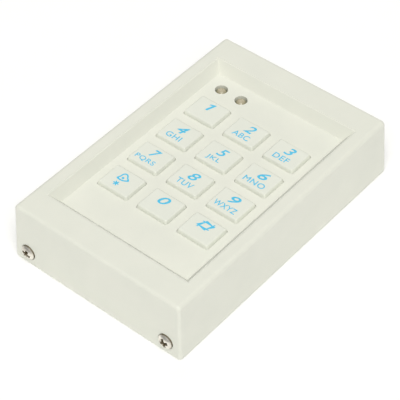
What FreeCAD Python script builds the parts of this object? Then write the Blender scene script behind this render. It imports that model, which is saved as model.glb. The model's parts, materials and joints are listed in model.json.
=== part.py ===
import FreeCAD, Part
import math
import os

from FreeCAD import Vector

# Alarm keypad panel, in millimetres.
# The origin is the middle of the flat back face, which lies on the wall or table.
# +X runs across the keypad, +Y runs up it towards the status lights, +Z points out of the front.

overlap = 0.5                # joined pieces run this far into each other, cutters this far past a face

# --- case ---
case_width = 80.0
case_length = 122.0
case_height = 26.5
draft = 1.2                  # how far each side leans in over the full height
long_edge_radius = 1.8       # front and back edges of the two long sides
end_edge_radius = 1.3        # all edges of the two end faces
wall = 4.0                   # side wall at the back edge
cavity_corner = 1.5

# --- recess that the keys stand in ---
rim_side = 5.6               # flat rim beside the recess, measured on the front face
rim_end = 11.4               # flat rim above and below the recess
recess_depth = 4.4
slope_run = 3.4              # horizontal width of the recess's sloping walls
lip_bevel = 0.3
panel_thickness = 2.4
rim_roof = 2.8               # material left over the cored-out rim
slope_wall = 2.0             # material left behind the sloping walls

# --- keys ---
key_columns = 3
key_rows = 4
pitch_x = 19.0
pitch_y = 16.25
grid_shift = 0.35            # the key grid sits this far above the middle
key_width = 14.4
key_length = 11.7
key_rise = 1.5               # top of a key above the recess floor
key_corner = 0.8
key_lean = 0.35              # how far each side of a key leans in above the panel
key_step = 0.05              # tiny ledge where the leaning part starts
key_step_depth = 0.1         # ledge below the recess floor
key_top_radius = 0.7
key_wall = 1.3
key_roof = 1.6
key_travel = 1.0
window_gap = 0.15            # between a key and its window, all round
flange_lip = 0.8             # how far the flange stands out under the panel
flange_thickness = 1.0
flange_gap = 0.15            # between the flange and the panel at rest
key_post_radius = 2.4

# --- silicone dome mat and contacts ---
dome_height = 4.4            # board face to dome top
dome_gap = 0.1               # between a key's post and its dome
mat_thickness = 0.9
mat_border = 3.2             # mat beyond the outer keys at the two ends
mat_side_border = 1.2        # mat beyond the outer keys at the two sides
dome_base_radius = 5.0
dome_button_radius = 2.6
dome_shoulder = 2.75         # height of the shoulder above the board
dome_hollow_radius = 4.3
dome_hollow_rise = 0.55
pill_ledge = 0.2             # flat round each pill
pill_radius = 1.9
pill_thickness = 0.6
contact_radius = 2.3
contact_thickness = 0.08
contact_split = 0.4
contact_gap = 0.05           # left between pill and contact with the key fully down
peg_radius = 0.9
peg_clearance = 0.25
peg_end_gap = 0.1            # between a peg and the board

# --- circuit board ---
board_thickness = 1.6
board_side_gap = 1.0
board_end_gap = 5.0
board_corner = 2.0
post_radius = 3.0
post_web_thickness = 1.6
post_web_above_board = 1.0
post_inset_x = 3.8
post_inset_y = 6.0
board_screw_radius = 1.05
board_screw_length = 6.0
board_screw_head_radius = 2.4
board_screw_head_height = 1.7
board_hole_clearance = 0.4
thread_clearance = 0.02      # threads are modelled as plain shanks
pilot_spare = 0.5            # pilot hole beyond the screw's tip

# --- status lights ---
led_xs = (-23.3, -13.6)
led_row_shift = 0.6
led_radius = 2.5
led_hole_clearance = 0.05
led_tip_above_floor = 0.1
led_flange_radius = 2.9
led_flange_height = 1.0
led_seat_gap = 0.05
led_lead_size = 0.5
led_lead_pitch = 2.54
led_lead_below_board = 1.2
led_cup_radius = 0.95
led_cup_height = 0.9
led_cup_below_tip = 3.0
lead_hole_clearance = 0.15
led_lead_gap = 0.15          # between the cup and the plain lead
led_shelf_thickness = 0.5
led_dish_radii = (0.38, 0.8)  # floor and mouth of the cup's dish
led_dish_depth = 0.6

# --- back plate ---
plate_thickness = 2.5
plate_gap = 0.3
fixing_spacing_x = 46.0
fixing_spacing_y = 84.0
fixing_hole_radius = 2.15
cable_entry_radius = 8.0
cable_entry_y = -12.0
rib_height = 1.6
rib_thickness = 1.4
rib_inset = 3.5

# --- end screws, their lugs and inserts ---
end_screw_z = 6.2
end_screw_radius = 1.5
end_screw_length = 10.0
end_head_radius = 3.0
end_head_height = 1.8
end_seat_depth = 0.5         # flat seat sunk in the drafted end face
end_seat_clearance = 0.3
end_seat_cutter = 2.0
end_cross_turn = 20.0        # degrees the two crosses stop from upright
end_hole_clearance = 0.25
insert_radius = 1.95
insert_length = 5.5
insert_side_wall = 0.75
lug_width = 7.0
lug_length = 7.0
lug_over_screw = 3.2

# --- hooks at the top end ---
hook_x = 20.0
hook_width = 8.0
hook_reach = 1.9
hook_thickness = 1.8
hook_block_length = 4.0
hook_top = 6.2
hook_clearance = 0.3

# --- tamper switch ---
tamper_x = -24.0
tamper_y = 12.0
tamper_size = 7.0
tamper_height = 4.3
tamper_stem_radius = 1.2
tamper_bore_clearance = 0.1
tamper_stem_in_body = 1.3
tamper_travel = 1.0
tamper_foot_radius = 2.7
tamper_foot_height = 1.0
tamper_foot_gap = 0.15
spring_radius = 2.0
spring_wire = 0.2            # radius of the wire
spring_turns = 4
spring_end_gap = 0.1

# --- sounder ---
sounder_x = 0.0
sounder_y = 34.0
sounder_radius = 6.0
sounder_height = 6.5
sounder_wall = 0.8
sounder_floor = 1.0
sounder_port_radius = 1.0
sounder_disc_thickness = 0.3
sounder_disc_depth = 2.0     # disc below the open end of the case
sounder_ledge = 0.8
sounder_disc_clearance = 0.1

# --- terminal block ---
terminal_y = -38.0
terminal_ways = 6
terminal_pitch = 3.5
terminal_depth = 7.0
terminal_height = 8.0
terminal_mouth = 2.4
terminal_mouth_height = 2.2
terminal_mouth_above_face = 3.8
terminal_mouth_depth = 4.6
terminal_well_radius = 1.5
terminal_well_depth = 3.0
terminal_screw_clearance = 0.1
terminal_screw_height = 1.5
terminal_slot_width = 0.5
terminal_slot_depth = 0.6
terminal_pin_radius = 0.5
terminal_pin_clearance = 0.06
terminal_pin_above_board = 0.8
terminal_pin_in_block = 1.0

# --- parts soldered flat on the board ---
chip_x = 15.0
chip_y = 12.0
chip_width = 12.8
chip_length = 7.5
chip_height = 2.3
chip_stand_off = 0.1
chip_pins_per_side = 10
chip_pin_pitch = 1.27
chip_pin_width = 0.42
chip_pin_reach = 1.3
chip_pin_thickness = 0.25
crystal_x = -6.0
crystal_y = 12.0
crystal_width = 11.0
crystal_length = 4.6
crystal_height = 3.5
crystal_end_flat = 0.1       # flat left in the middle of each round end
regulator_x = -22.0
regulator_y = -22.0
regulator_width = 6.6
regulator_length = 6.1
regulator_height = 2.3
regulator_bevel = 0.4
capacitor_x = 24.0
capacitor_ys = (-16.0, -26.0)
capacitor_radius = 3.15
capacitor_height = 5.8
capacitor_base_size = 6.6
capacitor_base_height = 1.2
resistor_count = 8
resistor_row_y = 22.0
resistor_pitch = 3.6
resistor_width = 1.25
resistor_length = 2.0
resistor_height = 0.55

# --- cross-head screws: shares of the head's height or radius ---
screw_rim_share = 0.5        # straight rim, the rest of the height is crown
screw_shoulder = (0.8, 0.62)  # a point on the crown: share of the radius, share of the crown
screw_tip_share = 0.5        # chamfer at the tip against the shank's radius
cross_span_share = 1.5       # tip to tip, just above the head
cross_width_share = 0.5
cross_floor_span = 0.5       # floor of the recess against its mouth
cross_floor_width = 0.6
cross_floor_share = 0.25     # metal left under the recess

# --- places worked out from the values above ---
half_width = case_width / 2
half_length = case_length / 2
floor_z = case_height - recess_depth
panel_under_z = floor_z - panel_thickness
top_half_width = half_width - draft
top_half_length = half_length - draft
lip_half_width = top_half_width - rim_side
lip_half_length = top_half_length - rim_end
floor_half_width = lip_half_width - slope_run
floor_half_length = lip_half_length - slope_run
cavity_half_width = half_width - wall
cavity_half_length = half_length - wall
rim_core_top = case_height - rim_roof
rim_core_slope = slope_run * (rim_core_top - floor_z) / recess_depth

key_top_z = floor_z + key_rise
flange_top_z = panel_under_z - flange_gap
key_bottom_z = flange_top_z - flange_thickness
dome_top_z = key_bottom_z - dome_gap
board_top_z = dome_top_z - dome_height
board_under_z = board_top_z - board_thickness
pill_bottom_z = board_top_z + contact_thickness + key_travel + contact_gap
pill_top_z = pill_bottom_z + pill_thickness
board_half_width = cavity_half_width - board_side_gap
board_half_length = cavity_half_length - board_end_gap
post_x = board_half_width - post_inset_x
post_ys = (-(board_half_length - post_inset_y), 0.0, board_half_length - post_inset_y)

plate_half_width = cavity_half_width - plate_gap
plate_half_length = cavity_half_length - plate_gap
end_screw_x = plate_half_width - insert_side_wall - insert_radius
end_seat_y = -half_length + draft * end_screw_z / case_height + end_seat_depth
tamper_under_z = board_under_z - tamper_height
tamper_foot_z = plate_thickness + tamper_foot_gap

key_names = (
    ("key_1", "key_2", "key_3"),
    ("key_4", "key_5", "key_6"),
    ("key_7", "key_8", "key_9"),
    ("key_bell", "key_0", "key_hash"),
)


def key_places():
    """Name and centre of every key, row by row from the top."""
    places = []
    for row in range(key_rows):
        y = grid_shift + pitch_y * ((key_rows - 1) / 2 - row)
        for column in range(key_columns):
            x = pitch_x * (column - (key_columns - 1) / 2)
            places.append((key_names[row][column], x, y))
    return places


top_row_y = grid_shift + pitch_y * (key_rows - 1) / 2
led_y = (top_row_y + key_length / 2 + floor_half_length) / 2 + led_row_shift


# --- shape helpers ---
def block(x, y, width, length, low, high):
    """Box centred on x, y."""
    corner = Vector(x - width / 2, y - length / 2, low)
    return Part.makeBox(width, length, high - low, corner)


def rod(x, y, radius, low, high):
    """Upright cylinder."""
    return Part.makeCylinder(radius, high - low, Vector(x, y, low))


def rounded_outline(x, y, width, length, corner, z):
    """Closed wire of a rectangle with round corners, anticlockwise from the lower right."""
    arcs = []
    for n, (side, end) in enumerate(((1, -1), (1, 1), (-1, 1), (-1, -1))):
        centre = Vector(x + side * (width / 2 - corner), y + end * (length / 2 - corner), z)
        angles = [math.radians(90 * n - 90 + step) for step in (0, 45, 90)]
        arcs.append([centre + Vector(math.cos(a), math.sin(a), 0) * corner for a in angles])
    edges = []
    for n, points in enumerate(arcs):
        after = arcs[(n + 1) % 4]
        edges.append(Part.Arc(*points))
        edges.append(Part.LineSegment(points[2], after[0]))
    return Part.Wire([edge.toShape() for edge in edges])


def rounded_block(x, y, width, length, corner, low, high):
    """Upright block with round vertical corners."""
    face = Part.Face(rounded_outline(x, y, width, length, corner, low))
    return face.extrude(Vector(0, 0, high - low))


def taper(low_width, low_length, low, high_width, high_length, high):
    """Four-sided solid with flat leaning sides, centred on the upright axis."""
    rings = []
    for width, length, z in ((low_width, low_length, low), (high_width, high_length, high)):
        x = width / 2
        y = length / 2
        rings.append([Vector(-x, -y, z), Vector(x, -y, z), Vector(x, y, z), Vector(-x, y, z)])
    bottom, top = rings
    outlines = [bottom[::-1], top]
    for n in range(4):
        after = (n + 1) % 4
        outlines.append([bottom[n], bottom[after], top[after], top[n]])
    faces = [Part.Face(Part.makePolygon(points + points[:1])) for points in outlines]
    return Part.Solid(Part.Shell(faces))


def turned(profile, x=0.0, y=0.0):
    """Solid turned about an upright axis at x, y from (radius, z) points."""
    points = [Vector(radius, 0, z) for radius, z in profile]
    face = Part.Face(Part.makePolygon(points + points[:1]))
    solid = face.revolve(Vector(0, 0, 0), Vector(0, 0, 1), 360)
    solid.translate(Vector(x, y, 0))
    return solid


def joined(shapes):
    """One solid from shapes that touch or overlap."""
    return shapes[0].fuse(shapes[1:]).removeSplitter()


def save(name, shapes):
    """One STEP file per node; a list of solids becomes a group."""
    shape = shapes if isinstance(shapes, Part.Shape) else Part.makeCompound(shapes)
    shape.exportStep(os.path.join("parts", name + ".step"))


def pan_screw(head_radius, head_height, shank_radius, length):
    """Cross-head pan screw at the origin: the head's underside is at z 0, the shank points down."""
    rim = head_height * screw_rim_share
    crown = head_height - rim
    curve = Part.Arc(
        Vector(head_radius, 0, rim),
        Vector(head_radius * screw_shoulder[0], 0, rim + crown * screw_shoulder[1]),
        Vector(0, 0, head_height),
    )
    lines = [
        Part.LineSegment(Vector(0, 0, head_height), Vector(0, 0, 0)),
        Part.LineSegment(Vector(0, 0, 0), Vector(head_radius, 0, 0)),
        Part.LineSegment(Vector(head_radius, 0, 0), Vector(head_radius, 0, rim)),
    ]
    outline = Part.Wire([edge.toShape() for edge in lines] + [curve.toShape()])
    head = Part.Face(outline).revolve(Vector(0, 0, 0), Vector(0, 0, 1), 360)
    tip = shank_radius * screw_tip_share
    shank = turned([(0, 0), (shank_radius, 0), (shank_radius, tip - length), (tip, -length), (0, -length)])
    span = head_radius * cross_span_share
    width = head_radius * cross_width_share
    low_span = span * cross_floor_span
    low_width = width * cross_floor_width
    low = head_height * cross_floor_share
    high = head_height + overlap
    cross = taper(low_span, low_width, low, span, width, high)
    other = taper(low_width, low_span, low, width, span, high)
    return head.fuse(shank).removeSplitter().cut(cross.fuse(other))


# --- case ---
def case_outside():
    """Drafted outer block: large radii along the long sides, small ones round both ends."""
    shape = taper(
        case_width, case_length, 0.0,
        case_width - 2 * draft, case_length - 2 * draft, case_height,
    )
    long_edges = [e for e in shape.Edges if e.BoundBox.YLength > case_length - 3 * draft]
    shape = shape.makeFillet(long_edge_radius, long_edges)
    inner_limit = half_length - 1.5 * draft
    end_edges = [
        e for e in shape.Edges
        if e.BoundBox.YMin > inner_limit or e.BoundBox.YMax < -inner_limit
    ]
    return shape.makeFillet(end_edge_radius, end_edges)


def recess():
    """Space above the recess floor, with four sloping walls and a small bevel round its lip."""
    over = slope_run * overlap / recess_depth
    spread = lip_bevel + overlap
    high = case_height + overlap
    slopes = taper(
        2 * floor_half_width, 2 * floor_half_length, floor_z,
        2 * (lip_half_width + over), 2 * (lip_half_length + over), high,
    )
    bevel = taper(
        2 * lip_half_width, 2 * lip_half_length, case_height - lip_bevel,
        2 * (lip_half_width + spread), 2 * (lip_half_length + spread), high,
    )
    return slopes.fuse(bevel)


def rim_core():
    """Pocket moulded up into the rim from behind, so that the rim isn't solid."""
    outside = rounded_block(
        0, 0, 2 * cavity_half_width, 2 * cavity_half_length, cavity_corner, panel_under_z, rim_core_top
    )
    inside = block(
        0, 0,
        2 * (floor_half_width + rim_core_slope + slope_wall),
        2 * (floor_half_length + rim_core_slope + slope_wall),
        panel_under_z, rim_core_top,
    )
    return outside.cut(inside)


def peg_places():
    """Mat pegs stand where four keys meet, above and below the middle of the grid."""
    return [
        (side * pitch_x / 2, grid_shift + end * pitch_y)
        for side in (-1, 1)
        for end in (-1, 1)
    ]


def hook_space(x, clearance, z_low, z_high):
    """Hook tab at the top end, or its pocket when clearance is given."""
    start = plate_half_length - hook_block_length
    end = plate_half_length + plate_gap + hook_reach + clearance
    return block(x, (start + end) / 2, hook_width + 2 * clearance, end - start, z_low, z_high)


def front_cover():
    """Five-sided moulded cover with the recess, windows, posts and pegs."""
    shape = case_outside().cut(recess())
    cavity = rounded_block(
        0, 0, 2 * cavity_half_width, 2 * cavity_half_length, cavity_corner, -overlap, panel_under_z
    )
    shape = shape.cut(cavity).cut(rim_core())
    added = []
    for side in (-1, 1):
        for y in post_ys:
            added.append(rod(side * post_x, y, post_radius, board_top_z, panel_under_z + overlap))
    for x, y in peg_places():
        added.append(rod(x, y, peg_radius, board_top_z + peg_end_gap, panel_under_z + overlap))
    # The outer posts stand under the cored rim, so webs tie them to the side walls.
    for side in (-1, 1):
        for y in post_ys:
            web_end = cavity_half_width + overlap
            added.append(
                block(
                    side * (post_x + web_end) / 2, y, web_end - post_x, post_web_thickness,
                    board_top_z + post_web_above_board, rim_core_top,
                )
            )
    shape = shape.fuse(added).removeSplitter()
    cuts = []
    for name, x, y in key_places():
        cuts.append(
            rounded_block(
                x, y, key_width + 2 * window_gap, key_length + 2 * window_gap,
                key_corner + window_gap, panel_under_z - overlap, floor_z + overlap,
            )
        )
    for x in led_xs:
        hole_radius = led_radius + led_hole_clearance
        cuts.append(rod(x, led_y, hole_radius, panel_under_z - overlap, floor_z + overlap))
    pilot_top = board_under_z + board_screw_length + pilot_spare
    for side in (-1, 1):
        for y in post_ys:
            cuts.append(rod(side * post_x, y, board_screw_radius, board_top_z - overlap, pilot_top))
        outward = Vector(0, -1, 0)
        hole_radius = end_screw_radius + end_hole_clearance
        hole_start = Vector(side * end_screw_x, -cavity_half_length + overlap, end_screw_z)
        cuts.append(Part.makeCylinder(hole_radius, wall + 2 * overlap, hole_start, outward))
        seat_radius = end_head_radius + end_seat_clearance
        seat_start = Vector(side * end_screw_x, end_seat_y, end_screw_z)
        cuts.append(Part.makeCylinder(seat_radius, end_seat_cutter, seat_start, outward))
        cuts.append(
            hook_space(
                side * hook_x, hook_clearance,
                hook_top - hook_thickness - hook_clearance, hook_top + hook_clearance,
            )
        )
    return shape.cut(cuts)


# --- keys, mat and contacts ---
def key_cap(x, y):
    """Hollow cap with a flange that holds it behind the panel and a post that meets the dome."""
    lean_start = floor_z - key_step_depth
    body = rounded_block(x, y, key_width, key_length, key_corner, key_bottom_z, lean_start)
    crown = taper(
        key_width - 2 * key_step, key_length - 2 * key_step, lean_start,
        key_width - 2 * key_step - 2 * key_lean, key_length - 2 * key_step - 2 * key_lean, key_top_z,
    )
    corner_edges = [e for e in crown.Edges if e.BoundBox.ZLength > key_rise / 2]
    crown = crown.makeFillet(key_corner, corner_edges)
    top_edges = [e for e in crown.Edges if e.BoundBox.ZMin > key_top_z - 0.01]
    crown = crown.makeFillet(key_top_radius, top_edges)
    crown.translate(Vector(x, y, 0))
    flange = rounded_block(
        x, y, key_width + 2 * flange_lip, key_length + 2 * flange_lip,
        key_corner, key_bottom_z, flange_top_z,
    )
    hollow = rounded_block(
        x, y, key_width - 2 * key_wall, key_length - 2 * key_wall,
        key_corner / 2, key_bottom_z - overlap, key_top_z - key_roof,
    )
    post = rod(x, y, key_post_radius, key_bottom_z, key_top_z - key_roof + overlap)
    return joined([body, crown, flange]).cut(hollow).fuse(post).removeSplitter()


def dome_mat():
    """One silicone sheet with a dome under every key."""
    grid_width = pitch_x * (key_columns - 1) + key_width
    grid_length = pitch_y * (key_rows - 1) + key_length
    sheet_shape = rounded_block(
        0, grid_shift, grid_width + 2 * mat_side_border, grid_length + 2 * mat_border,
        board_corner, board_top_z, board_top_z + mat_thickness,
    )
    domes = []
    hollows = []
    for name, x, y in key_places():
        domes.append(turned([
            (0, board_top_z),
            (dome_base_radius, board_top_z),
            (dome_base_radius, board_top_z + mat_thickness),
            (dome_button_radius, board_top_z + dome_shoulder),
            (dome_button_radius, dome_top_z),
            (0, dome_top_z),
        ], x, y))
        hollows.append(turned([
            (0, board_top_z - overlap),
            (dome_hollow_radius, board_top_z - overlap),
            (dome_hollow_radius, board_top_z + dome_hollow_rise),
            (pill_radius + pill_ledge, pill_top_z),
            (0, pill_top_z),
        ], x, y))
    for x, y in peg_places():
        hole_radius = peg_radius + peg_clearance
        hollows.append(rod(x, y, hole_radius, board_top_z - overlap, board_top_z + mat_thickness + overlap))
    return sheet_shape.fuse(domes).removeSplitter().cut(hollows)


def carbon_pill(x, y):
    return rod(x, y, pill_radius, pill_bottom_z, pill_top_z)


def key_contacts():
    """Two half-round pads under every pill."""
    pads = []
    for name, x, y in key_places():
        disc = rod(x, y, contact_radius, board_top_z, board_top_z + contact_thickness)
        for side in (-1, 1):
            reach = 2 * contact_radius
            middle = x + side * (contact_split / 2 + reach / 2)
            half = block(middle, y, reach, reach, board_top_z - overlap, board_top_z + overlap)
            pads.append(disc.common(half).Solids[0])
    return pads


# --- circuit board and what is on it ---
def terminal_xs():
    return [terminal_pitch * (n - (terminal_ways - 1) / 2) for n in range(terminal_ways)]


def circuit_board():
    shape = rounded_block(
        0, 0, 2 * board_half_width, 2 * board_half_length, board_corner, board_under_z, board_top_z
    )
    low = board_under_z - overlap
    high = board_top_z + overlap
    holes = []
    for side in (-1, 1):
        for y in post_ys:
            holes.append(rod(side * post_x, y, board_screw_radius + board_hole_clearance, low, high))
    for x in led_xs:
        for side in (-1, 1):
            radius = led_lead_size * math.sqrt(0.5) + lead_hole_clearance
            holes.append(rod(x + side * led_lead_pitch / 2, led_y, radius, low, high))
    for x in terminal_xs():
        holes.append(rod(x, terminal_y, terminal_pin_radius + terminal_pin_clearance, low, high))
    return shape.cut(holes)


def board_screws():
    screws = []
    for side in (-1, 1):
        for y in post_ys:
            screw = pan_screw(
                board_screw_head_radius, board_screw_head_height,
                board_screw_radius - thread_clearance, board_screw_length,
            )
            screw.rotate(Vector(0, 0, 0), Vector(1, 0, 0), 180)
            screw.translate(Vector(side * post_x, y, board_under_z))
            screws.append(screw)
    return screws


def led_leads(x):
    """A cup lead and a plain lead, as on any round light-emitting diode."""
    tip_z = floor_z + led_tip_above_floor
    cup_z = tip_z - led_cup_below_tip
    rim_z = cup_z + led_cup_height
    shelf_z = cup_z - led_shelf_thickness
    low = board_under_z - led_lead_below_board
    left = x - led_lead_pitch / 2
    right = x + led_lead_pitch / 2
    gap = led_lead_gap
    stem = block(left, led_y, led_lead_size, led_lead_size, low, cup_z)
    start = left - led_lead_size / 2
    end = x + led_cup_radius
    shelf = block((start + end) / 2, led_y, end - start, led_lead_size, shelf_z, cup_z)
    room = block(right, led_y, led_lead_size + 2 * gap, 2 * led_lead_size, shelf_z, cup_z)
    cup = rod(x, led_y, led_cup_radius, cup_z, rim_z)
    dish_start = Vector(x, led_y, rim_z - led_dish_depth)
    dish = Part.makeCone(led_dish_radii[0], led_dish_radii[1], led_dish_depth, dish_start)
    plain = block(right, led_y, led_lead_size, led_lead_size, low, rim_z)
    cup_room = rod(x, led_y, led_cup_radius + gap, cup_z, tip_z)
    return [joined([stem, shelf.cut(room), cup]).cut(dish), plain.cut(cup_room)]


def led_lens(x):
    """Round clear body with a domed tip and a foot flange, cast round its leads."""
    low = board_top_z + led_seat_gap
    tip_z = floor_z + led_tip_above_floor
    body = rod(x, led_y, led_radius, low, tip_z - led_radius)
    dome = Part.makeSphere(led_radius, Vector(x, led_y, tip_z - led_radius))
    flange = rod(x, led_y, led_flange_radius, low, low + led_flange_height)
    return joined([body, dome, flange]).cut(led_leads(x))


def sounder_case():
    """Round cup, open towards the board, with a ledge for the disc and a sound port."""
    high = board_under_z
    low = high - sounder_height
    shape = rod(sounder_x, sounder_y, sounder_radius, low, high)
    bore = sounder_radius - sounder_wall
    disc_space = rod(sounder_x, sounder_y, bore, high - sounder_disc_depth, high + overlap)
    chamber = rod(sounder_x, sounder_y, bore - sounder_ledge, low + sounder_floor, high + overlap)
    port = rod(sounder_x, sounder_y, sounder_port_radius, low - overlap, low + sounder_floor + overlap)
    return shape.cut([disc_space, chamber, port])


def sounder_disc():
    low = board_under_z - sounder_disc_depth
    radius = sounder_radius - sounder_wall - sounder_disc_clearance
    return rod(sounder_x, sounder_y, radius, low, low + sounder_disc_thickness)


def terminal_block():
    high = board_under_z
    low = high - terminal_height
    shape = block(0, terminal_y, terminal_ways * terminal_pitch, terminal_depth, low, high)
    mouth_start = terminal_y + terminal_depth / 2 - terminal_mouth_depth
    mouth_length = terminal_mouth_depth + overlap
    mouth_low = low + terminal_mouth_above_face
    cuts = []
    for x in terminal_xs():
        cuts.append(
            block(
                x, mouth_start + mouth_length / 2, terminal_mouth, mouth_length,
                mouth_low, mouth_low + terminal_mouth_height,
            )
        )
        cuts.append(rod(x, terminal_y, terminal_well_radius, low - overlap, low + terminal_well_depth))
        cuts.append(rod(x, terminal_y, terminal_pin_radius, high - terminal_pin_in_block, high + overlap))
    return shape.cut(cuts)


def terminal_screws():
    low = board_under_z - terminal_height + terminal_well_depth - terminal_screw_height
    high = low + terminal_screw_height
    screws = []
    for x in terminal_xs():
        head = rod(x, terminal_y, terminal_well_radius - terminal_screw_clearance, low, high)
        slot = block(
            x, terminal_y, 2 * terminal_well_radius, terminal_slot_width,
            low - overlap, low + terminal_slot_depth,
        )
        screws.append(head.cut(slot))
    return screws


def terminal_pins():
    low = board_under_z - terminal_pin_in_block
    high = board_top_z + terminal_pin_above_board
    return [rod(x, terminal_y, terminal_pin_radius, low, high) for x in terminal_xs()]


def controller_chip():
    high = board_under_z - chip_stand_off
    return block(chip_x, chip_y, chip_width, chip_length, high - chip_height, high)


def controller_pins():
    pins = []
    for n in range(chip_pins_per_side):
        x = chip_x + chip_pin_pitch * (n - (chip_pins_per_side - 1) / 2)
        for side in (-1, 1):
            face = chip_y + side * chip_length / 2
            foot = block(
                x, face + side * chip_pin_reach / 2, chip_pin_width, chip_pin_reach,
                board_under_z - chip_pin_thickness, board_under_z,
            )
            riser = block(
                x, face + side * chip_pin_thickness / 2, chip_pin_width, chip_pin_thickness,
                board_under_z - chip_height / 2, board_under_z - chip_pin_thickness,
            )
            pins.append(joined([foot, riser]))
    return pins


def crystal():
    return rounded_block(
        crystal_x, crystal_y, crystal_width, crystal_length, (crystal_length - crystal_end_flat) / 2,
        board_under_z - crystal_height, board_under_z,
    )


def regulator():
    body = block(
        regulator_x, regulator_y, regulator_width, regulator_length,
        board_under_z - regulator_height, board_under_z,
    )
    edges = [e for e in body.Edges if e.BoundBox.ZMax < board_under_z - regulator_height + 0.01]
    return body.makeChamfer(regulator_bevel, edges)


def capacitor_cans():
    high = board_under_z - capacitor_base_height
    return [rod(capacitor_x, y, capacitor_radius, high - capacitor_height, high) for y in capacitor_ys]


def capacitor_bases():
    low = board_under_z - capacitor_base_height
    size = capacitor_base_size
    return [block(capacitor_x, y, size, size, low, board_under_z) for y in capacitor_ys]


def chip_resistors():
    return [
        block(
            resistor_pitch * (n - (resistor_count - 1) / 2), resistor_row_y, resistor_width, resistor_length,
            board_under_z - resistor_height, board_under_z,
        )
        for n in range(resistor_count)
    ]


# --- tamper switch ---
def tamper_body():
    shape = block(tamper_x, tamper_y, tamper_size, tamper_size, tamper_under_z, board_under_z)
    bore_radius = tamper_stem_radius + tamper_bore_clearance
    bore_top = tamper_under_z + tamper_stem_in_body + tamper_travel + tamper_bore_clearance
    bore = rod(tamper_x, tamper_y, bore_radius, tamper_under_z - overlap, bore_top)
    return shape.cut(bore)


def tamper_plunger():
    """Foot that rests by the back plate, and a stem that slides in the switch."""
    foot = rod(tamper_x, tamper_y, tamper_foot_radius, tamper_foot_z, tamper_foot_z + tamper_foot_height)
    stem = rod(tamper_x, tamper_y, tamper_stem_radius, tamper_foot_z, tamper_under_z + tamper_stem_in_body)
    return joined([foot, stem])


def tamper_spring():
    """Coil between the foot and the switch body."""
    low = tamper_foot_z + tamper_foot_height + spring_end_gap + spring_wire
    high = tamper_under_z - spring_end_gap - spring_wire
    height = high - low
    path = Part.makeHelix(height / spring_turns, height, spring_radius)
    section = Part.Wire([Part.makeCircle(spring_wire, Vector(spring_radius, 0, 0), Vector(0, 1, 0))])
    coil = Part.Wire(path.Edges).makePipeShell([section], True, True)
    coil.translate(Vector(tamper_x, tamper_y, low))
    return coil


# --- back plate ---
def back_plate():
    shape = rounded_block(
        0, 0, 2 * plate_half_width, 2 * plate_half_length, cavity_corner, 0.0, plate_thickness
    )
    rib_outer = rounded_block(
        0, 0, 2 * (plate_half_width - rib_inset), 2 * (plate_half_length - rib_inset - lug_length),
        cavity_corner, plate_thickness - overlap, plate_thickness + rib_height,
    )
    rib_inner = rounded_block(
        0, 0, 2 * (plate_half_width - rib_inset - rib_thickness),
        2 * (plate_half_length - rib_inset - lug_length - rib_thickness),
        cavity_corner / 2, plate_thickness - 2 * overlap, plate_thickness + rib_height + overlap,
    )
    added = [rib_outer.cut(rib_inner)]
    collar_radius = cable_entry_radius + rib_thickness
    collar_top = plate_thickness + rib_height
    added.append(rod(0, cable_entry_y, collar_radius, overlap, collar_top))
    for side in (-1, 1):
        added.append(
            rounded_block(
                side * (plate_half_width - lug_width / 2), -plate_half_length + lug_length / 2,
                lug_width, lug_length, cavity_corner, plate_thickness - overlap, end_screw_z + lug_over_screw,
            )
        )
        added.append(
            block(
                side * hook_x, plate_half_length - hook_block_length / 2,
                hook_width, hook_block_length, plate_thickness - overlap, hook_top,
            )
        )
        added.append(hook_space(side * hook_x, 0.0, hook_top - hook_thickness, hook_top))
    shape = shape.fuse(added).removeSplitter()
    cuts = [rod(0, cable_entry_y, cable_entry_radius, -overlap, collar_top + overlap)]
    for side in (-1, 1):
        for end in (-1, 1):
            cuts.append(
                rod(
                    side * fixing_spacing_x / 2, end * fixing_spacing_y / 2,
                    fixing_hole_radius, -overlap, plate_thickness + overlap,
                )
            )
        inward = Vector(0, 1, 0)
        mouth = Vector(side * end_screw_x, -plate_half_length - overlap, end_screw_z)
        hole_radius = end_screw_radius + end_hole_clearance
        cuts.append(Part.makeCylinder(insert_radius, insert_length + overlap, mouth, inward))
        cuts.append(Part.makeCylinder(hole_radius, lug_length + 2 * overlap, mouth, inward))
    return shape.cut(cuts)


def lug_inserts():
    """Threaded brass tubes pressed into the lugs."""
    inserts = []
    for side in (-1, 1):
        start = Vector(side * end_screw_x, -plate_half_length, end_screw_z)
        inward = Vector(0, 1, 0)
        tube = Part.makeCylinder(insert_radius, insert_length, start, inward)
        bore = Part.makeCylinder(end_screw_radius, insert_length, start, inward)
        inserts.append(tube.cut(bore))
    return inserts


def end_screws():
    screws = []
    for side in (-1, 1):
        shank_radius = end_screw_radius - thread_clearance
        screw = pan_screw(end_head_radius, end_head_height, shank_radius, end_screw_length)
        screw.rotate(Vector(0, 0, 0), Vector(0, 0, 1), end_cross_turn * side)
        screw.rotate(Vector(0, 0, 0), Vector(1, 0, 0), 90)
        screw.translate(Vector(side * end_screw_x, end_seat_y, end_screw_z))
        screws.append(screw)
    return screws


# --- write every node ---
os.makedirs("parts", exist_ok=True)

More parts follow.
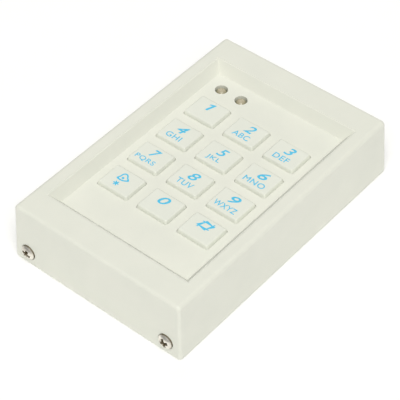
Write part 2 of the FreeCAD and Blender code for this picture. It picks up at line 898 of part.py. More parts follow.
save("front_cover", front_cover())
save("back_plate", back_plate())
save("end_screws", end_screws())
save("lug_inserts", lug_inserts())
for key_name, key_x, key_y in key_places():
    save(key_name + "_cap", key_cap(key_x, key_y))
    save(key_name + "_pill", carbon_pill(key_x, key_y))
save("dome_mat", dome_mat())
save("key_contacts", key_contacts())
save("circuit_board", circuit_board())
save("board_screws", board_screws())
for led_name, led_x in zip(("left_led", "right_led"), led_xs):
    save(led_name, led_lens(led_x))
    save(led_name + "_leads", led_leads(led_x))
save("sounder_case", sounder_case())
save("sounder_disc", sounder_disc())
save("terminal_block", terminal_block())
save("terminal_screws", terminal_screws())
save("terminal_pins", terminal_pins())
save("controller_chip", controller_chip())
save("controller_pins", controller_pins())
save("crystal", crystal())
save("regulator", regulator())
save("capacitor_cans", capacitor_cans())
save("capacitor_bases", capacitor_bases())
save("chip_resistors", chip_resistors())
save("tamper_body", tamper_body())
save("tamper_plunger", tamper_plunger())
save("tamper_spring", tamper_spring())
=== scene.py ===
import json
import math
import bpy
from mathutils import Matrix, Quaternion, Vector


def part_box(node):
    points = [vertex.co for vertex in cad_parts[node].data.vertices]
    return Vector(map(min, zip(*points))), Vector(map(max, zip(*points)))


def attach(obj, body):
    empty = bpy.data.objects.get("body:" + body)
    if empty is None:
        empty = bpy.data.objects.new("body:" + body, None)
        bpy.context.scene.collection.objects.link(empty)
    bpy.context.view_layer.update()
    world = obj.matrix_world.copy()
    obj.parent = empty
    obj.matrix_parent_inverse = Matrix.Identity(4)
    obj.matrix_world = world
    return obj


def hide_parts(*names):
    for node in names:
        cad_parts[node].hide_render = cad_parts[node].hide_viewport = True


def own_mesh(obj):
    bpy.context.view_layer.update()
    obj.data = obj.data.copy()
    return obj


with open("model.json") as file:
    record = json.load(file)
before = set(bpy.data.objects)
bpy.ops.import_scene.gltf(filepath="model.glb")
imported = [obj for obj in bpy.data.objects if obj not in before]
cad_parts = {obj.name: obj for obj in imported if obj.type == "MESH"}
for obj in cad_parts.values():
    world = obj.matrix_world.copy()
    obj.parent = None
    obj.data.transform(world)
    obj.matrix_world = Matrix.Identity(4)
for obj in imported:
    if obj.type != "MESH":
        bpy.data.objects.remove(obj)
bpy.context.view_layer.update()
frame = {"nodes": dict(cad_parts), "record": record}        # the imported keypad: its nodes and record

mm = 0.001
mergeReach = 0.0001 * mm
print("keypad loaded,", len(frame["nodes"]), "parts")


def setInput(node, name, value):
    # Puts a number, colour or another node's output on an input
    socket = node.inputs[name]
    if isinstance(value, bpy.types.NodeSocket):
        socket.id_data.links.new(value, socket)
    elif isinstance(value, (tuple, list)) and len(value) == 3 and socket.type == "RGBA":
        socket.default_value = (*value, 1.0)
    else:
        socket.default_value = value


def addNode(tree, kind, **inputs):
    node = tree.nodes.new(kind)
    for name, value in inputs.items():
        setInput(node, name.replace("_", " "), value)
    return node


def mathNode(tree, operation, first, second=0.0, clamp=False):
    node = tree.nodes.new("ShaderNodeMath")
    node.operation = operation
    node.use_clamp = clamp
    for index, value in enumerate((first, second)):
        if isinstance(value, bpy.types.NodeSocket):
            tree.links.new(value, node.inputs[index])
        else:
            node.inputs[index].default_value = value
    return node.outputs[0]


def mixColour(tree, share, first, second):
    node = tree.nodes.new("ShaderNodeMix")
    node.data_type = "RGBA"
    for socket, value in ((node.inputs[0], share), (node.inputs[6], first), (node.inputs[7], second)):
        if isinstance(value, bpy.types.NodeSocket):
            tree.links.new(value, socket)
        elif isinstance(value, tuple):
            socket.default_value = (*value, 1.0)
        else:
            socket.default_value = value
    return node.outputs[2]


def spread(tree, value, low, high, fromLow=0.0, fromHigh=1.0):
    # Stretches a value from one range to another
    node = tree.nodes.new("ShaderNodeMapRange")
    tree.links.new(value, node.inputs["Value"])
    limits = {"From Min": fromLow, "From Max": fromHigh, "To Min": low, "To Max": high}
    for name, number in limits.items():
        node.inputs[name].default_value = number
    return node.outputs[0]


def newGroup(name, inputs, outputs):
    # Empty shader group with named float inputs and outputs
    group = bpy.data.node_groups.new(name, "ShaderNodeTree")
    for title, value in inputs.items():
        socket = group.interface.new_socket(name=title, in_out="INPUT", socket_type="NodeSocketFloat")
        socket.default_value = value
    for title in outputs:
        group.interface.new_socket(name=title, in_out="OUTPUT", socket_type="NodeSocketFloat")
    return group, group.nodes.new("NodeGroupInput"), group.nodes.new("NodeGroupOutput")


def makeMouldGrain():
    # Fine spark-eroded grain, soft flow patches and rare specks of moulded plastic
    group, given, made = newGroup(
        "mouldGrain", {"Grain mm": 0.25, "Patch mm": 9.0}, ("Height", "Patch", "Speck")
    )
    place = addNode(group, "ShaderNodeTexCoord").outputs["Object"]
    grainScale = mathNode(group, "DIVIDE", 1000.0, given.outputs["Grain mm"])
    patchScale = mathNode(group, "DIVIDE", 1000.0, given.outputs["Patch mm"])
    grain = addNode(
        group, "ShaderNodeTexNoise", Vector=place, Scale=grainScale, Detail=3.0, Roughness=0.6
    )
    patch = addNode(
        group, "ShaderNodeTexNoise", Vector=place, Scale=patchScale, Detail=4.0, Roughness=0.55
    )
    speckle = addNode(group, "ShaderNodeTexVoronoi", Vector=place, Scale=230.0, Randomness=1.0)
    speck = spread(group, speckle.outputs["Distance"], 1.0, 0.0, 0.02, 0.05)
    group.links.new(grain.outputs["Fac"], made.inputs["Height"])
    group.links.new(patch.outputs["Fac"], made.inputs["Patch"])
    group.links.new(speck, made.inputs["Speck"])
    return group


def makeEdgeCatch():
    # One on edges and corners, nought on flats
    group, given, made = newGroup("edgeCatch", {"Width mm": 0.8}, ("Edge",))
    width = mathNode(group, "MULTIPLY", given.outputs["Width mm"], mm)
    rounded = addNode(group, "ShaderNodeBevel", Radius=width)
    rounded.samples = 6
    flat = addNode(group, "ShaderNodeNewGeometry")
    dot = group.nodes.new("ShaderNodeVectorMath")
    dot.operation = "DOT_PRODUCT"
    group.links.new(rounded.outputs[0], dot.inputs[0])
    group.links.new(flat.outputs["Normal"], dot.inputs[1])
    edge = spread(group, dot.outputs["Value"], 1.0, 0.0, 0.7, 1.0)
    group.links.new(edge, made.inputs["Edge"])
    return group


def makeBrushing():
    # Fine scratches that run one way, for plated and drawn metal
    group, given, made = newGroup("brushing", {"Line mm": 0.08}, ("Lines", "Smudge"))
    place = addNode(group, "ShaderNodeTexCoord").outputs["Object"]
    scale = mathNode(group, "DIVIDE", 1000.0, given.outputs["Line mm"])
    stretch = addNode(group, "ShaderNodeMapping", Vector=place, Scale=(1.0, 1.0, 0.08))
    lines = addNode(group, "ShaderNodeTexNoise", Vector=stretch.outputs[0], Scale=scale, Detail=2.0)
    smudge = addNode(group, "ShaderNodeTexNoise", Vector=place, Scale=420.0, Detail=3.0)
    group.links.new(lines.outputs["Fac"], made.inputs["Lines"])
    group.links.new(smudge.outputs["Fac"], made.inputs["Smudge"])
    return group


def makeCreviceShade():
    # Painted shade mask: one deep in slots and recesses, nought on open faces
    group, given, made = newGroup("creviceShade", {"Reach mm": 1.0, "Open": 0.9, "Deep": 0.55}, ("Painted shade",))
    reach = mathNode(group, "MULTIPLY", given.outputs["Reach mm"], mm)
    shelter = addNode(group, "ShaderNodeAmbientOcclusion", Distance=reach)
    shelter.samples = 8
    node = group.nodes.new("ShaderNodeMapRange")
    group.links.new(shelter.outputs["AO"], node.inputs["Value"])
    group.links.new(given.outputs["Open"], node.inputs["From Min"])
    group.links.new(given.outputs["Deep"], node.inputs["From Max"])
    group.links.new(node.outputs[0], made.inputs["Painted shade"])
    return group


mouldGrain = makeMouldGrain()
creviceShade = makeCreviceShade()
edgeCatch = makeEdgeCatch()
brushing = makeBrushing()


def placeGroup(tree, group, **values):
    node = tree.nodes.new("ShaderNodeGroup")
    node.node_tree = group
    for name, value in values.items():
        node.inputs[name.replace("_", " ")].default_value = value
    return node


def bumpFrom(tree, height, distanceMm, strength=1.0):
    bump = addNode(tree, "ShaderNodeBump", Height=height, Distance=distanceMm * mm, Strength=strength)
    return bump.outputs[0]


def newFinish(name):
    material = bpy.data.materials.new(name)
    material.use_nodes = True
    return material, material.node_tree, material.node_tree.nodes["Principled BSDF"]


def mouldedPlastic(name, colour, shade, edgeColour, roughness=0.42, grainMm=0.22, grainDepth=0.006,
                   patchMm=14.0, edgeMm=0.9, edgeShare=0.35, speckShare=0.25, gloss=0.45):
    # Moulded plastic: two close colours in soft patches, paler edges of painted highlight and rubbed wear, fine
    # grain and rare specks
    material, tree, shader = newFinish(name)
    grain = placeGroup(tree, mouldGrain, Grain_mm=grainMm, Patch_mm=patchMm)
    edge = placeGroup(tree, edgeCatch, Width_mm=edgeMm)
    patches = spread(tree, grain.outputs["Patch"], 0.0, 1.0, 0.35, 0.65)
    base = mixColour(tree, patches, colour, shade)
    # painted highlight and rubbed wear: paler colour mixed in along edges and corners
    edgeAmount = mathNode(tree, "MULTIPLY", edge.outputs["Edge"], edgeShare)
    litAndRubbed = mixColour(tree, edgeAmount, base, edgeColour)
    speckAmount = mathNode(tree, "MULTIPLY", grain.outputs["Speck"], speckShare)
    speckColour = tuple(0.72 * part for part in shade)
    setInput(shader, "Base Color", mixColour(tree, speckAmount, litAndRubbed, speckColour))
    smooth = spread(tree, grain.outputs["Patch"], roughness - 0.05, roughness + 0.07, 0.3, 0.7)
    setInput(shader, "Roughness", smooth)
    setInput(shader, "Specular IOR Level", gloss)
    setInput(shader, "Normal", bumpFrom(tree, grain.outputs["Height"], grainDepth))
    return material


def platedMetal(name, colour, shade, roughness=0.2, lineMm=0.08, depth=0.002):
    # Plated or drawn metal with fine lines and smudges, paler edges of painted highlight and wear, and painted
    # shade down in its slots
    material, tree, shader = newFinish(name)
    lines = placeGroup(tree, brushing, Line_mm=lineMm)
    edge = placeGroup(tree, edgeCatch, Width_mm=0.3)
    smudge = spread(tree, lines.outputs["Smudge"], 0.0, 1.0, 0.4, 0.7)
    base = mixColour(tree, smudge, colour, shade)
    # painted highlight and wear: pale colour mixed in along edges
    edgeAmount = mathNode(tree, "MULTIPLY", edge.outputs["Edge"], 0.3)
    litAndWorn = mixColour(tree, edgeAmount, base, (0.92, 0.91, 0.88))
    # painted shade: dark brown mixed into the colour where slots and recesses are sheltered, with less metal and
    # more roughness there
    paintedShade = placeGroup(tree, creviceShade, Reach_mm=2.2).outputs["Painted shade"]
    setInput(shader, "Base Color", mixColour(tree, paintedShade, litAndWorn, (0.14, 0.11, 0.06)))
    setInput(shader, "Metallic", spread(tree, paintedShade, 1.0, 0.2))
    smooth = spread(tree, lines.outputs["Smudge"], roughness - 0.06, roughness + 0.12, 0.35, 0.7)
    setInput(shader, "Roughness", mathNode(tree, "ADD", smooth, mathNode(tree, "MULTIPLY", paintedShade, 0.45)))
    setInput(shader, "Normal", bumpFrom(tree, lines.outputs["Lines"], depth))
    return material


def lampResin(name, rimShadeColour, middleColour, lowColour):
    # Smoky cast resin with painted shade towards the edge of each lamp, paler over the cup, faint haze
    material, tree, shader = newFinish(name)
    grain = placeGroup(tree, mouldGrain, Grain_mm=0.3, Patch_mm=2.0)
    place = addNode(tree, "ShaderNodeTexCoord").outputs["Object"]
    parts = addNode(tree, "ShaderNodeSeparateXYZ", Vector=place)
    reach = None
    for lamp in ("left_led", "right_led"):
        low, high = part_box(lamp)
        across = mathNode(tree, "SUBTRACT", parts.outputs["X"], (low.x + high.x) / 2)
        along = mathNode(tree, "SUBTRACT", parts.outputs["Y"], (low.y + high.y) / 2)
        acrossSquare = mathNode(tree, "MULTIPLY", across, across)
        alongSquare = mathNode(tree, "MULTIPLY", along, along)
        distance = mathNode(tree, "SQRT", mathNode(tree, "ADD", acrossSquare, alongSquare))
        reach = distance if reach is None else mathNode(tree, "MINIMUM", reach, distance)
    # painted shade: darker towards the edge of each lamp, where it meets its hole
    rimShade = spread(tree, reach, 0.0, 1.0, 1.1 * mm, 2.3 * mm)
    clouds = mixColour(tree, grain.outputs["Patch"], middleColour, lowColour)
    setInput(shader, "Base Color", mixColour(tree, rimShade, clouds, rimShadeColour))
    setInput(shader, "Roughness", spread(tree, grain.outputs["Height"], 0.06, 0.18, 0.3, 0.7))
    setInput(shader, "Transmission Weight", 0.15)
    setInput(shader, "IOR", 1.54)
    setInput(shader, "Normal", bumpFrom(tree, grain.outputs["Height"], 0.001))
    return material


def softRubber(name, colour, shade, roughness=0.7):
    # Matt silicone or carbon rubber with a dusty bloom on its edges
    material, tree, shader = newFinish(name)
    grain = placeGroup(tree, mouldGrain, Grain_mm=0.12, Patch_mm=3.0)
    edge = placeGroup(tree, edgeCatch, Width_mm=0.4)
    base = mixColour(tree, grain.outputs["Patch"], colour, shade)
    edgeAmount = mathNode(tree, "MULTIPLY", edge.outputs["Edge"], 0.2)
    bloom = tuple(min(1.0, part + 0.12) for part in colour)
    setInput(shader, "Base Color", mixColour(tree, edgeAmount, base, bloom))
    smooth = spread(tree, grain.outputs["Height"], roughness - 0.1, roughness + 0.1, 0.3, 0.7)
    setInput(shader, "Roughness", smooth)
    setInput(shader, "Normal", bumpFrom(tree, grain.outputs["Height"], 0.01))
    return material


def boardLaminate(name):
    # Green solder resist over copper tracks, with the glass weave showing faintly
    material, tree, shader = newFinish(name)
    place = addNode(tree, "ShaderNodeTexCoord").outputs["Object"]
    tracks = addNode(tree, "ShaderNodeTexBrick", Vector=place, Scale=140.0)
    setInput(tracks, "Mortar Size", 0.06)
    setInput(tracks, "Brick Width", 0.9)
    setInput(tracks, "Row Height", 0.35)
    weave = addNode(tree, "ShaderNodeTexChecker", Vector=place, Scale=1400.0)
    resist = mixColour(tree, tracks.outputs["Fac"], (0.012, 0.115, 0.045), (0.03, 0.2, 0.075))
    weaveAmount = mathNode(tree, "MULTIPLY", weave.outputs["Fac"], 0.12)
    setInput(shader, "Base Color", mixColour(tree, weaveAmount, resist, (0.02, 0.09, 0.04)))
    setInput(shader, "Roughness", spread(tree, tracks.outputs["Fac"], 0.28, 0.36))
    setInput(shader, "Normal", bumpFrom(tree, tracks.outputs["Fac"], 0.03))
    return material


def printedInk(name, colour, shade):
    # Pad-printed ink: slightly uneven, a little glossier than the key
    material, tree, shader = newFinish(name)
    grain = placeGroup(tree, mouldGrain, Grain_mm=0.1, Patch_mm=1.2)
    patches = spread(tree, grain.outputs["Patch"], 0.0, 1.0, 0.3, 0.7)
    setInput(shader, "Base Color", mixColour(tree, patches, colour, shade))
    setInput(shader, "Roughness", spread(tree, grain.outputs["Height"], 0.32, 0.5, 0.3, 0.7))
    setInput(shader, "Normal", bumpFrom(tree, grain.outputs["Height"], 0.002))
    return material


finishes = {
    "case_plastic": mouldedPlastic(
        "caseWhite", (0.772, 0.780, 0.698), (0.752, 0.764, 0.684), (0.82, 0.825, 0.755)
    ),
    "key_plastic": mouldedPlastic(
        "keyWhite", (0.772, 0.788, 0.708), (0.756, 0.776, 0.697), (0.82, 0.83, 0.76),
        roughness=0.36, grainMm=0.16, grainDepth=0.003, patchMm=8.0, edgeMm=0.6, speckShare=0.15,
    ),
    "plate_plastic": mouldedPlastic(
        "plateWhite", (0.77, 0.765, 0.68), (0.735, 0.735, 0.66), (0.83, 0.82, 0.75),
        roughness=0.5, grainMm=0.4, grainDepth=0.015, patchMm=20.0,
    ),
    "legend_ink": printedInk("skyInk", (0.06, 0.52, 0.79), (0.085, 0.56, 0.83)),
    "nickel_screws": platedMetal("brightNickel", (0.84, 0.81, 0.74), (0.74, 0.70, 0.62), roughness=0.34),
    "zinc_screws": platedMetal("zincPlate", (0.62, 0.63, 0.64), (0.52, 0.53, 0.55), roughness=0.3),
    "brass": platedMetal("turnedBrass", (0.72, 0.52, 0.20), (0.60, 0.42, 0.15), roughness=0.28),
    "gold_pads": platedMetal("goldFlash", (0.90, 0.66, 0.26), (0.82, 0.58, 0.20), roughness=0.22),
    "tinned_leads": platedMetal("tinnedWire", (0.66, 0.66, 0.64), (0.55, 0.55, 0.53), roughness=0.33),
    "bare_can": platedMetal("drawnCan", (0.74, 0.74, 0.75), (0.64, 0.64, 0.66), roughness=0.3),
    "spring_wire": platedMetal("springWire", (0.55, 0.55, 0.56), (0.42, 0.42, 0.43), roughness=0.25),
    "silicone": softRubber("milkySilicone", (0.62, 0.63, 0.62), (0.55, 0.56, 0.55)),
    "carbon_rubber": softRubber("carbonPill", (0.02, 0.02, 0.02), (0.035, 0.035, 0.035)),
    "board_laminate": boardLaminate("greenLaminate"),
    # the first lamp colour is the painted shade at each lamp's edge
    "led_epoxy": lampResin("lampResin", (0.24, 0.23, 0.13), (0.62, 0.58, 0.42), (0.46, 0.39, 0.28)),
    "black_plastic": mouldedPlastic(
        "blackMoulding", (0.018, 0.018, 0.02), (0.026, 0.026, 0.028), (0.06, 0.06, 0.062),
        roughness=0.5, grainMm=0.12, grainDepth=0.01, patchMm=4.0, edgeMm=0.3, speckShare=0.0,
    ),
    "terminal_plastic": mouldedPlastic(
        "terminalGreen", (0.03, 0.20, 0.07), (0.04, 0.24, 0.09), (0.09, 0.34, 0.16),
        roughness=0.42, grainMm=0.15, grainDepth=0.006, patchMm=5.0, edgeMm=0.3, speckShare=0.0,
    ),
    "white_nylon": mouldedPlastic(
        "nylonWhite", (0.76, 0.75, 0.69), (0.72, 0.71, 0.65), (0.82, 0.81, 0.76), patchMm=4.0, edgeMm=0.3
    ),
}

for part in frame["record"]["subparts"]:
    node = frame["nodes"][part["node"]]
    finish = finishes[part["material_slot"]]
    if node.material_slots:
        for materialSlot in node.material_slots:
            materialSlot.material = finish
    else:
        node.data.materials.append(finish)
print("finishes made,", len(finishes))


keyPrint = {
    "digitTall": 4.1 * mm,
    "digitUp": 1.85 * mm,        # above the key's middle
    "digitSlant": 0.30,
    "digitBold": 0.014,          # share of the letter's em
    "letterTall": 2.65 * mm,
    "letterDown": 2.7 * mm,      # below the key's middle
    "letterBold": 0.010,
    "inkDeep": 0.02 * mm,        # how far the ink sinks into the key
    "inkProud": 0.03 * mm,
}
# Width of each digit and how far right of the key's middle it sits, in millimetres.
digits = {
    "1": (2.6, 0.1), "2": (4.0, 0.5), "3": (3.9, 0.4), "4": (4.2, -0.1), "5": (4.0, 0.4),
    "6": (4.1, 0.8), "7": (3.8, 0.4), "8": (4.2, 0.3), "9": (4.2, 0.3), "0": (4.3, -0.2),
}
keyLetters = {
    "2": ("ABC", 7.4, -0.35), "3": ("DEF", 6.8, -0.4), "4": ("GHI", 6.8, -0.65), "5": ("JKL", 6.0, -0.55),
    "6": ("MNO", 9.3, -0.1), "7": ("PQRS", 8.9, -0.8), "8": ("TUV", 7.3, -0.5), "9": ("WXYZ", 9.9, -0.45),
}


def clearSelection():
    bpy.ops.object.select_all(action="DESELECT")


def mergeActive():
    # joins points that lie on each other and turns all faces outwards
    bpy.ops.object.mode_set(mode="EDIT")
    bpy.ops.mesh.select_all(action="SELECT")
    bpy.ops.mesh.remove_doubles(threshold=mergeReach)
    bpy.ops.mesh.normals_make_consistent(inside=False)
    bpy.ops.object.mode_set(mode="OBJECT")


def meshBox(piece):
    points = [vertex.co for vertex in piece.data.vertices]
    low = Vector([min(point[i] for point in points) for i in range(3)])
    high = Vector([max(point[i] for point in points) for i in range(3)])
    return low, high


def meshMiddle(piece):
    low, high = meshBox(piece)
    return (low + high) / 2


def meshFromActive(name):
    # Turns the active text or curve into a mesh of that name, with its doubles merged
    bpy.ops.object.convert(target="MESH")
    piece = bpy.context.active_object
    piece.name = name
    piece.data.name = name
    mergeActive()
    return piece


def fitOnKey(piece, width, height, x, y, topZ):
    # Stretches a flat print to its width and height and lays it on the key's top
    low, high = meshBox(piece)
    middle = meshMiddle(piece)
    thick = keyPrint["inkDeep"] + keyPrint["inkProud"]
    wanted = (width, height, thick)
    stretch = Matrix.Diagonal([size / (b - a) for size, a, b in zip(wanted, low, high)] + [1.0])
    place = Vector((x, y, topZ + keyPrint["inkProud"] - thick / 2))
    piece.data.transform(Matrix.Translation(place) @ stretch @ Matrix.Translation(-middle))
    piece.data.update()


def printText(name, words, slant, bold):
    clearSelection()
    bpy.ops.object.text_add(location=(0, 0, 0))
    text = bpy.context.active_object
    text.data.body = words
    text.data.size = 1.0
    text.data.shear = slant
    text.data.bevel_depth = bold
    text.data.bevel_resolution = 0
    text.data.space_character = 1.08
    text.data.extrude = 0.01
    text.data.resolution_u = 8
    return meshFromActive(name)


def flatCurve(name, outlines, slant):
    # Filled flat shape from closed outlines of (x, y, smooth) points; inner outlines are holes
    clearSelection()
    curve = bpy.data.curves.new(name, "CURVE")
    curve.dimensions = "2D"
    curve.fill_mode = "BOTH"
    curve.extrude = 0.01
    curve.resolution_u = 10
    for outline in outlines:
        spline = curve.splines.new("BEZIER")
        spline.bezier_points.add(len(outline) - 1)
        spline.use_cyclic_u = True
        for point, (x, y, smooth) in zip(spline.bezier_points, outline):
            point.co = (x + slant * y, y, 0.0)
            kind = "AUTO" if smooth else "VECTOR"
            point.handle_left_type = kind
            point.handle_right_type = kind
    piece = bpy.data.objects.new(name, curve)
    bpy.context.scene.collection.objects.link(piece)
    piece.select_set(True)
    bpy.context.view_layer.objects.active = piece
    return meshFromActive(name)


def oneShape(name):
    # Upright stroke with a flag, leaning with the other digits
    corners = ((0.0, 0.0), (0.8, 0.0), (0.8, 4.1), (0.3, 4.1), (-0.95, 3.5), (-0.95, 2.85), (0.0, 3.2))
    return flatCurve(name, [[(x, y, False) for x, y in corners]], keyPrint["digitSlant"])


def bellShape(name):
    # Swinging bell in outline with a round clapper, tilted a little to the left
    outer = [
        (-2.5, -0.1), (-2.1, 0.75), (-1.65, 1.3), (-1.35, 2.15), (-0.7, 2.95), (0.0, 3.15), (0.7, 2.95),
        (1.35, 2.15), (1.65, 1.3), (2.1, 0.75), (2.5, -0.1), (1.5, -0.75), (0.0, -1.0), (-1.5, -0.75),
    ]
    inner = [
        (-1.6, 0.15), (-1.1, 1.1), (-0.75, 2.0), (0.0, 2.55), (0.75, 2.0), (1.1, 1.1), (1.6, 0.15),
        (0.95, -0.26), (0.0, -0.4), (-0.95, -0.26),
    ]
    clapper = [(-0.75, 0.55), (-0.2, 1.1), (0.35, 0.55), (-0.2, 0.0)]
    tilt = Matrix.Rotation(math.radians(14.0), 2)
    outlines = []
    for outline in (outer, inner, clapper):
        outlines.append([(*(tilt @ Vector(point)), True) for point in outline])
    return flatCurve(name, outlines, 0.0)


def starShape(name):
    # Small six-armed star with an arm to each side
    points = []
    for arm in range(6):
        middle = arm * math.pi / 3
        for turn, reach in ((-0.2, 1.0), (0.2, 1.0), (math.pi / 6, 0.42)):
            points.append((reach * math.cos(middle + turn), reach * math.sin(middle + turn), False))
    return flatCurve(name, [points], 0.0)


def hashShape(name):
    # Four crossed bars with short tails, as one outline round one window
    bar = 0.25
    across = 1.5
    up = 1.3
    tail = 0.95
    outline = []
    for quarter in range(4):
        turn = Matrix.Rotation(quarter * math.pi / 2, 2)
        a, b = (across, up) if quarter % 2 == 0 else (up, across)
        corner = [
            (a + tail, b - bar), (a + tail, b + bar), (a + bar, b + bar), (a + bar, b + tail),
            (a - bar, b + tail), (a - bar, b + bar), (-a + bar, b + bar),
        ]
        for x, y in corner[:-1]:
            spot = turn @ Vector((x, y))
            outline.append((spot.x, spot.y, False))
    window = [
        (across - bar, up - bar, False), (-across + bar, up - bar, False),
        (-across + bar, -up + bar, False), (across - bar, -up + bar, False),
    ]
    return flatCurve(name, [outline, window], 0.34)


def finishPrint(pieces, name, body):
    # Joins a key's prints into one piece that moves with the key
    clearSelection()
    for piece in pieces:
        piece.select_set(True)
    bpy.context.view_layer.objects.active = pieces[0]
    if len(pieces) > 1:
        bpy.ops.object.join()
    joined = bpy.context.active_object
    joined.name = name
    joined.data.name = name
    joined.data.materials.clear()
    joined.data.materials.append(finishes["legend_ink"])
    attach(joined, body)
    return joined


def keyMiddle(sign):
    low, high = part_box("key_" + sign + "_cap")
    return (low.x + high.x) / 2, (low.y + high.y) / 2, high.z


for sign, (width, shift) in digits.items():
    x, y, topZ = keyMiddle(sign)
    if sign == "1":
        digit = oneShape("digit1")
    else:
        digit = printText("digit" + sign, sign, keyPrint["digitSlant"], keyPrint["digitBold"])
    fitOnKey(digit, width * mm, keyPrint["digitTall"], x + shift * mm, y + keyPrint["digitUp"], topZ)
    prints = [digit]
    if sign in keyLetters:
        words, width, shift = keyLetters[sign]
        letters = printText("letters" + sign, words, 0.0, keyPrint["letterBold"])
        letterY = y - keyPrint["letterDown"]
        fitOnKey(letters, width * mm, keyPrint["letterTall"], x + shift * mm, letterY, topZ)
        prints.append(letters)
    finishPrint(prints, "key_" + sign + "_print", "key_" + sign)

# Each sign's width, height, and how far right of and above its key's middle it sits, in millimetres.
signPlaces = {
    "bellSign": (5.0, 4.1, -0.2, 1.65),
    "starSign": (2.4, 2.3, -0.85, -2.35),
    "hashSign": (6.6, 4.3, 0.2, 1.9),
}


def laySign(shape, name, keyName):
    width, height, right, up = (size * mm for size in signPlaces[name])
    x, y, topZ = keyMiddle(keyName)
    sign = shape(name)
    fitOnKey(sign, width, height, x + right, y + up, topZ)
    return sign


finishPrint([laySign(bellShape, "bellSign", "bell"), laySign(starShape, "starSign", "bell")],
            "key_bell_print", "key_bell")
finishPrint([laySign(hashShape, "hashSign", "hash")], "key_hash_print", "key_hash")
print("keys printed")


# the rubber dome mat is cut into its sheet and single domes, and the plunger's coil spring is copied; all are hung
# on the housing
soft = {
    "sheetThick": 0.92 * mm,     # the mat is cut into sheet and domes just above its sheet
    "smoothAngle": math.radians(35.0),
}


def copyNode(nodeName, pieceName):
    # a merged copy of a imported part, left selected and active
    clearSelection()
    mesh = frame["nodes"][nodeName].data.copy()
    mesh.name = pieceName
    piece = bpy.data.objects.new(pieceName, mesh)
    bpy.context.scene.collection.objects.link(piece)
    piece.select_set(True)
    bpy.context.view_layer.objects.active = piece
    mergeActive()
    return piece


def cutLevel(piece, height, keepTop):
    # closes the cut with new faces and keeps what is above or below it
    clearSelection()
    piece.select_set(True)
    bpy.context.view_layer.objects.active = piece
    bpy.ops.object.mode_set(mode="EDIT")
    bpy.ops.mesh.select_all(action="SELECT")
    bpy.ops.mesh.bisect(
        plane_co=(0, 0, height), plane_no=(0, 0, 1), use_fill=True,
        clear_inner=keepTop, clear_outer=not keepTop, threshold=mergeReach,
    )
    bpy.ops.mesh.select_all(action="SELECT")
    bpy.ops.mesh.normals_make_consistent(inside=False)
    bpy.ops.object.mode_set(mode="OBJECT")
    bpy.ops.object.shade_smooth_by_angle(angle=soft["smoothAngle"])


def makeDomes():
    matLow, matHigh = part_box("dome_mat")
    cutHeight = matLow.z + soft["sheetThick"]
    sheet = copyNode("dome_mat", "dome_sheet")
    cutLevel(sheet, cutHeight, False)
    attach(sheet, "housing")
    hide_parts("dome_mat")
    domes = copyNode("dome_mat", "dome")
    cutLevel(domes, cutHeight, True)
    bpy.ops.object.mode_set(mode="EDIT")
    bpy.ops.mesh.select_all(action="SELECT")
    bpy.ops.mesh.separate(type="LOOSE")
    bpy.ops.object.mode_set(mode="OBJECT")
    pieces = list(bpy.context.selected_objects)
    for sign in [*digits, "bell", "hash"]:
        keyX, keyY, topZ = keyMiddle(sign)
        dome = min(pieces, key=lambda piece: (meshMiddle(piece).xy - Vector((keyX, keyY))).length)
        dome.name = "dome_" + sign
        dome.data.name = dome.name
        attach(dome, "housing")
        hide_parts("dome_mat")
        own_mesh(dome)
    print("domes made,", len(pieces))


def makeSpring():
    spring = copyNode("tamper_spring", "plunger_spring")
    bpy.ops.object.shade_smooth_by_angle(angle=soft["smoothAngle"])
    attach(spring, "housing")
    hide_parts("tamper_spring")
    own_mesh(spring)
    print("spring made")


makeDomes()
makeSpring()

studio = {
    "floorSize": 6.0,
    "floorDrop": 0.00003,        # keeps the floor from showing through the flat back
    "floorColour": (0.91, 0.91, 0.91),
    "floorShade": (0.89, 0.89, 0.89),
    "floorGlow": 0.11,
    "zenith": (0.43, 0.43, 0.43),
    "horizon": (0.15, 0.152, 0.155),
    "skyStrength": 1.0,
    "panelPower": 127.0,
    "panelColour": (1.0, 0.99, 0.95),
    "panelSize": 2.4,
    "panelSpot": (1.44, -1.60, 3.36),
    "fillPower": 0.6,
    "fillSize": 0.5,
    "fillSpot": (-0.30, 0.28, 0.60),
}


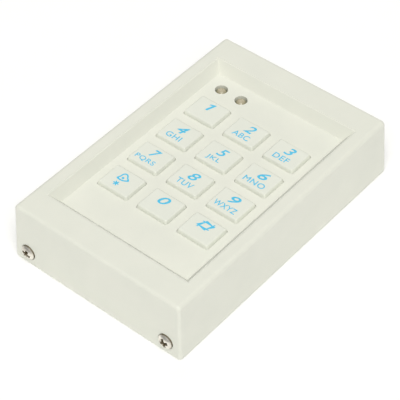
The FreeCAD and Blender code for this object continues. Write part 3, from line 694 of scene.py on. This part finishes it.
def makeFloor():
    clearSelection()
    bpy.ops.mesh.primitive_plane_add(size=studio["floorSize"], location=(0, 0, -studio["floorDrop"]))
    floor = bpy.context.active_object
    floor.name = "floor"
    material, tree, shader = newFinish("paleFloor")
    paper = placeGroup(tree, mouldGrain, Grain_mm=1.5, Patch_mm=90.0)
    tone = spread(tree, paper.outputs["Patch"], 0.0, 1.0, 0.35, 0.65)
    setInput(shader, "Base Color", mixColour(tree, tone, studio["floorColour"], studio["floorShade"]))
    setInput(shader, "Roughness", spread(tree, paper.outputs["Height"], 0.85, 0.95, 0.3, 0.7))
    setInput(shader, "Specular IOR Level", 0.0)
    setInput(shader, "Emission Color", (1.0, 1.0, 1.0))
    setInput(shader, "Emission Strength", studio["floorGlow"])
    # clear from below, so that the keypad's back can be looked at
    clear = tree.nodes.new("ShaderNodeBsdfTransparent")
    oneSided = tree.nodes.new("ShaderNodeMixShader")
    facing = tree.nodes.new("ShaderNodeNewGeometry")
    tree.links.new(facing.outputs["Backfacing"], oneSided.inputs[0])
    tree.links.new(shader.outputs[0], oneSided.inputs[1])
    tree.links.new(clear.outputs[0], oneSided.inputs[2])
    tree.links.new(oneSided.outputs[0], tree.nodes["Material Output"].inputs["Surface"])
    floor.data.materials.append(material)


def makeLight():
    # a tent that is bright overhead and dimmer low down, a soft panel on the near right side
    # and a weak fill over the far left corner
    world = bpy.data.worlds.new("softTent")
    bpy.context.scene.world = world
    world.use_nodes = True
    tree = world.node_tree
    direction = addNode(tree, "ShaderNodeTexCoord").outputs["Generated"]
    parts = addNode(tree, "ShaderNodeSeparateXYZ", Vector=direction)
    height = spread(tree, parts.outputs["Z"], 0.0, 1.0)
    sky = tree.nodes["Background"]
    setInput(sky, "Color", mixColour(tree, height, studio["horizon"], studio["zenith"]))
    setInput(sky, "Strength", studio["skyStrength"])
    for name in ("panel", "fill"):
        lamp = bpy.data.lights.new(name, "AREA")
        lamp.energy = studio[name + "Power"]
        lamp.size = studio[name + "Size"]
        lamp.color = studio["panelColour"]
        light = bpy.data.objects.new(name, lamp)
        bpy.context.scene.collection.objects.link(light)
        light.location = studio[name + "Spot"]
        light.rotation_mode = "QUATERNION"
        light.rotation_quaternion = (-light.location).to_track_quat("-Z", "Y")


# a long lens above the lower right corner, rolled by under a degree
view = {
    "spot": Vector((283.3, -333.44, 455.42)) * mm,
    "aim": Vector((2.85, -5.98, 13.25)) * mm,
    "rollDegrees": -0.94,
    "lens": 150.6,
    "sensorWidth": 36.0,
    "nearest": 0.01,
    "farthest": 20.0,
}


def makeCamera():
    data = bpy.data.cameras.new("camera")
    data.sensor_width = view["sensorWidth"]
    data.lens = view["lens"]
    data.clip_start = view["nearest"]
    data.clip_end = view["farthest"]
    camera = bpy.data.objects.new("camera", data)
    bpy.context.scene.collection.objects.link(camera)
    camera.location = view["spot"]
    camera.rotation_mode = "QUATERNION"
    roll = Quaternion((0, 0, 1), math.radians(view["rollDegrees"]))
    camera.rotation_quaternion = (view["aim"] - view["spot"]).to_track_quat("-Z", "Y") @ roll
    bpy.context.scene.camera = camera


makeFloor()
makeLight()
makeCamera()
bpy.context.scene.view_settings.view_transform = "Standard"

print("scene ready")
